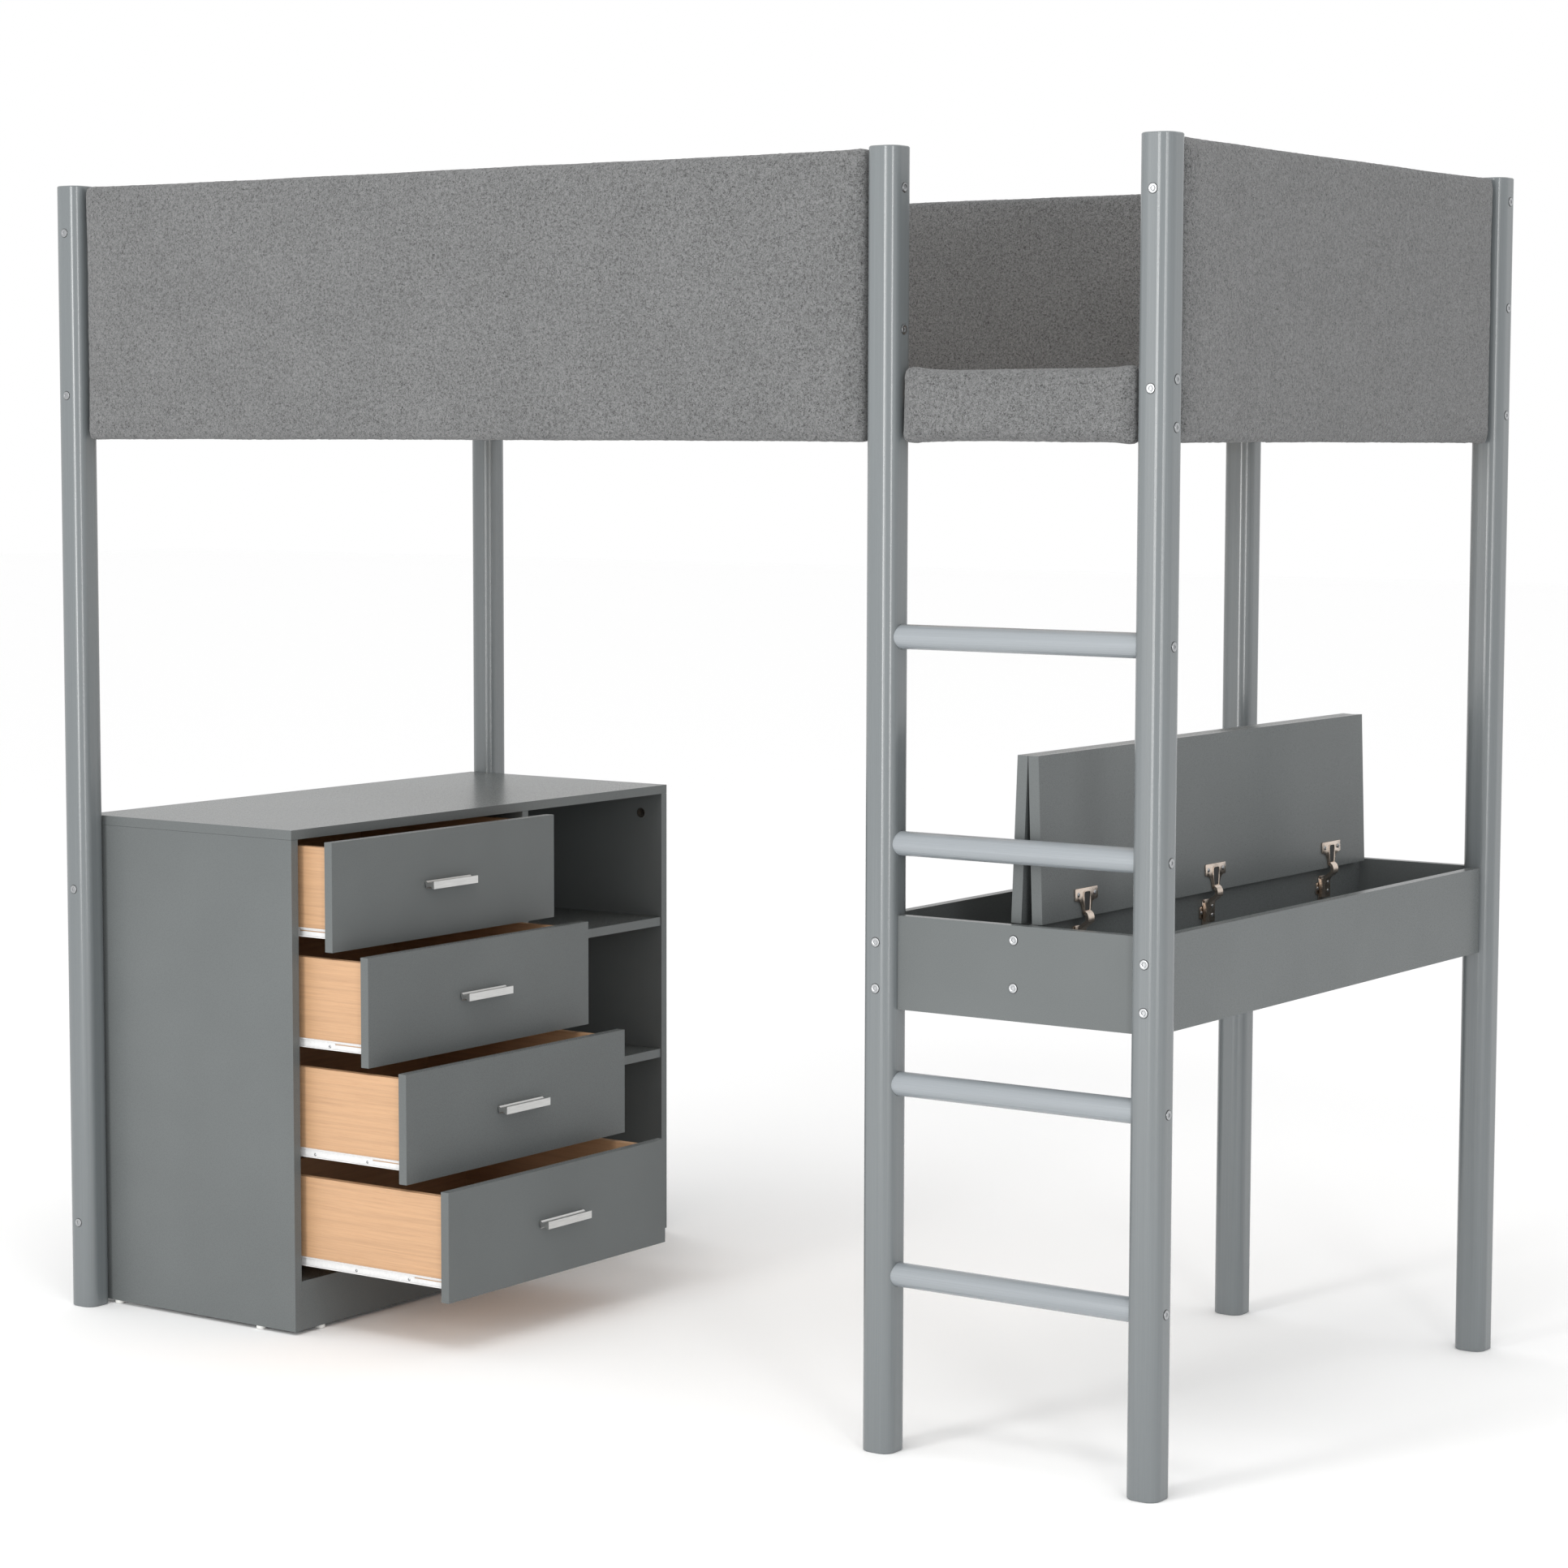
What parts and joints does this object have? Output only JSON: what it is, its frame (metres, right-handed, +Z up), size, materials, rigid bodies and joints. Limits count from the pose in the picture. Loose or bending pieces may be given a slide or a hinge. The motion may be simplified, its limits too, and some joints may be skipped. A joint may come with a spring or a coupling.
{
  "type": "loft bed with desk",
  "caption": "Padded loft bed on round-cornered posts with a ladder, a shallow desk box under two flap lids and a drawer and shelf cabinet below.",
  "frame": {"origin": "on the floor, in the middle of the grid of posts", "axes": "+X along the bed towards the desk and ladder end, -Y the front with the ladder, +Z up"},
  "size_m": [2.01, 1.075, 1.799],
  "materials": {
    "post": "grey semi-gloss paint on rounded wooden posts and rungs",
    "board": "grey satin melamine board with matching thin edges",
    "pad": "grey curly boucle cloth over foam",
    "slat": "plain planed softwood",
    "drawer_box": "beech-coloured melamine with a fine grain",
    "handle": "satin aluminium",
    "hinge": "warm nickel-plated steel"
  },
  "bodies": {
    "bed": {"post_front_left": "post", "post_back_left": "post", "post_front_middle": "post", "post_back_middle": "post", "post_front_right": "post", "post_back_right": "post", "rung_1": "post", "rung_2": "post", "rung_3": "post", "rung_4": "post", "pad_front_long": "pad", "pad_ladder_low": "pad", "pad_back_long": "pad", "pad_back_short": "pad", "pad_left_end": "pad", "pad_right_end": "pad", "bed_rail_front": "slat", "bed_rail_back": "slat", "slat_roll": "slat", "desk_front": "board", "desk_back": "board", "desk_left": "board", "desk_right": "board", "desk_floor": "board", "desk_divider": "board", "hinge_base_front": "hinge", "hinge_base_middle": "hinge", "hinge_base_back": "hinge", "cabinet_top": "board", "cabinet_side_front": "board", "cabinet_side_back": "board", "cabinet_back": "board", "cabinet_floor": "board", "cabinet_plinth": "board", "cabinet_division": "board", "cabinet_shelf_upper": "board", "cabinet_shelf_lower": "board"},
    "lid_right_body": {"lid_right": "board", "hinge_cup_right_front": "hinge", "hinge_cup_right_middle": "hinge", "hinge_cup_right_back": "hinge"},
    "lid_left_body": {"lid_left": "board", "hinge_cup_left_front": "hinge", "hinge_cup_left_middle": "hinge", "hinge_cup_left_back": "hinge"},
    "drawer_1_body": {"drawer_1_front": "board", "drawer_1_box": "drawer_box", "drawer_1_handle": "handle"},
    "drawer_2_body": {"drawer_2_front": "board", "drawer_2_box": "drawer_box", "drawer_2_handle": "handle"},
    "drawer_3_body": {"drawer_3_front": "board", "drawer_3_box": "drawer_box", "drawer_3_handle": "handle"},
    "drawer_4_body": {"drawer_4_front": "board", "drawer_4_box": "drawer_box", "drawer_4_handle": "handle"}
  },
  "joints": [
    {"name": "lid_right_swing", "type": "hinge", "parent": "bed", "child": "lid_right_body", "pos_m": [0.78308, 0, 0.76289], "axis": [0, 1, 0], "range_deg": [0, 92.04]},
    {"name": "lid_left_swing", "type": "hinge", "parent": "bed", "child": "lid_left_body", "pos_m": [0.75592, 0, 0.76289], "axis": [0, -1, 0], "range_deg": [0, 92.04]},
    {"name": "drawer_1_slide", "type": "slide", "parent": "bed", "child": "drawer_1_body", "axis": [1, 0, 0], "range_m": [-0.068, 0.23]},
    {"name": "drawer_2_slide", "type": "slide", "parent": "bed", "child": "drawer_2_body", "axis": [1, 0, 0], "range_m": [-0.14, 0.158]},
    {"name": "drawer_3_slide", "type": "slide", "parent": "bed", "child": "drawer_3_body", "axis": [1, 0, 0], "range_m": [-0.215, 0.083]},
    {"name": "drawer_4_slide", "type": "slide", "parent": "bed", "child": "drawer_4_body", "axis": [1, 0, 0], "range_m": [-0.298, 0]}
  ]
}
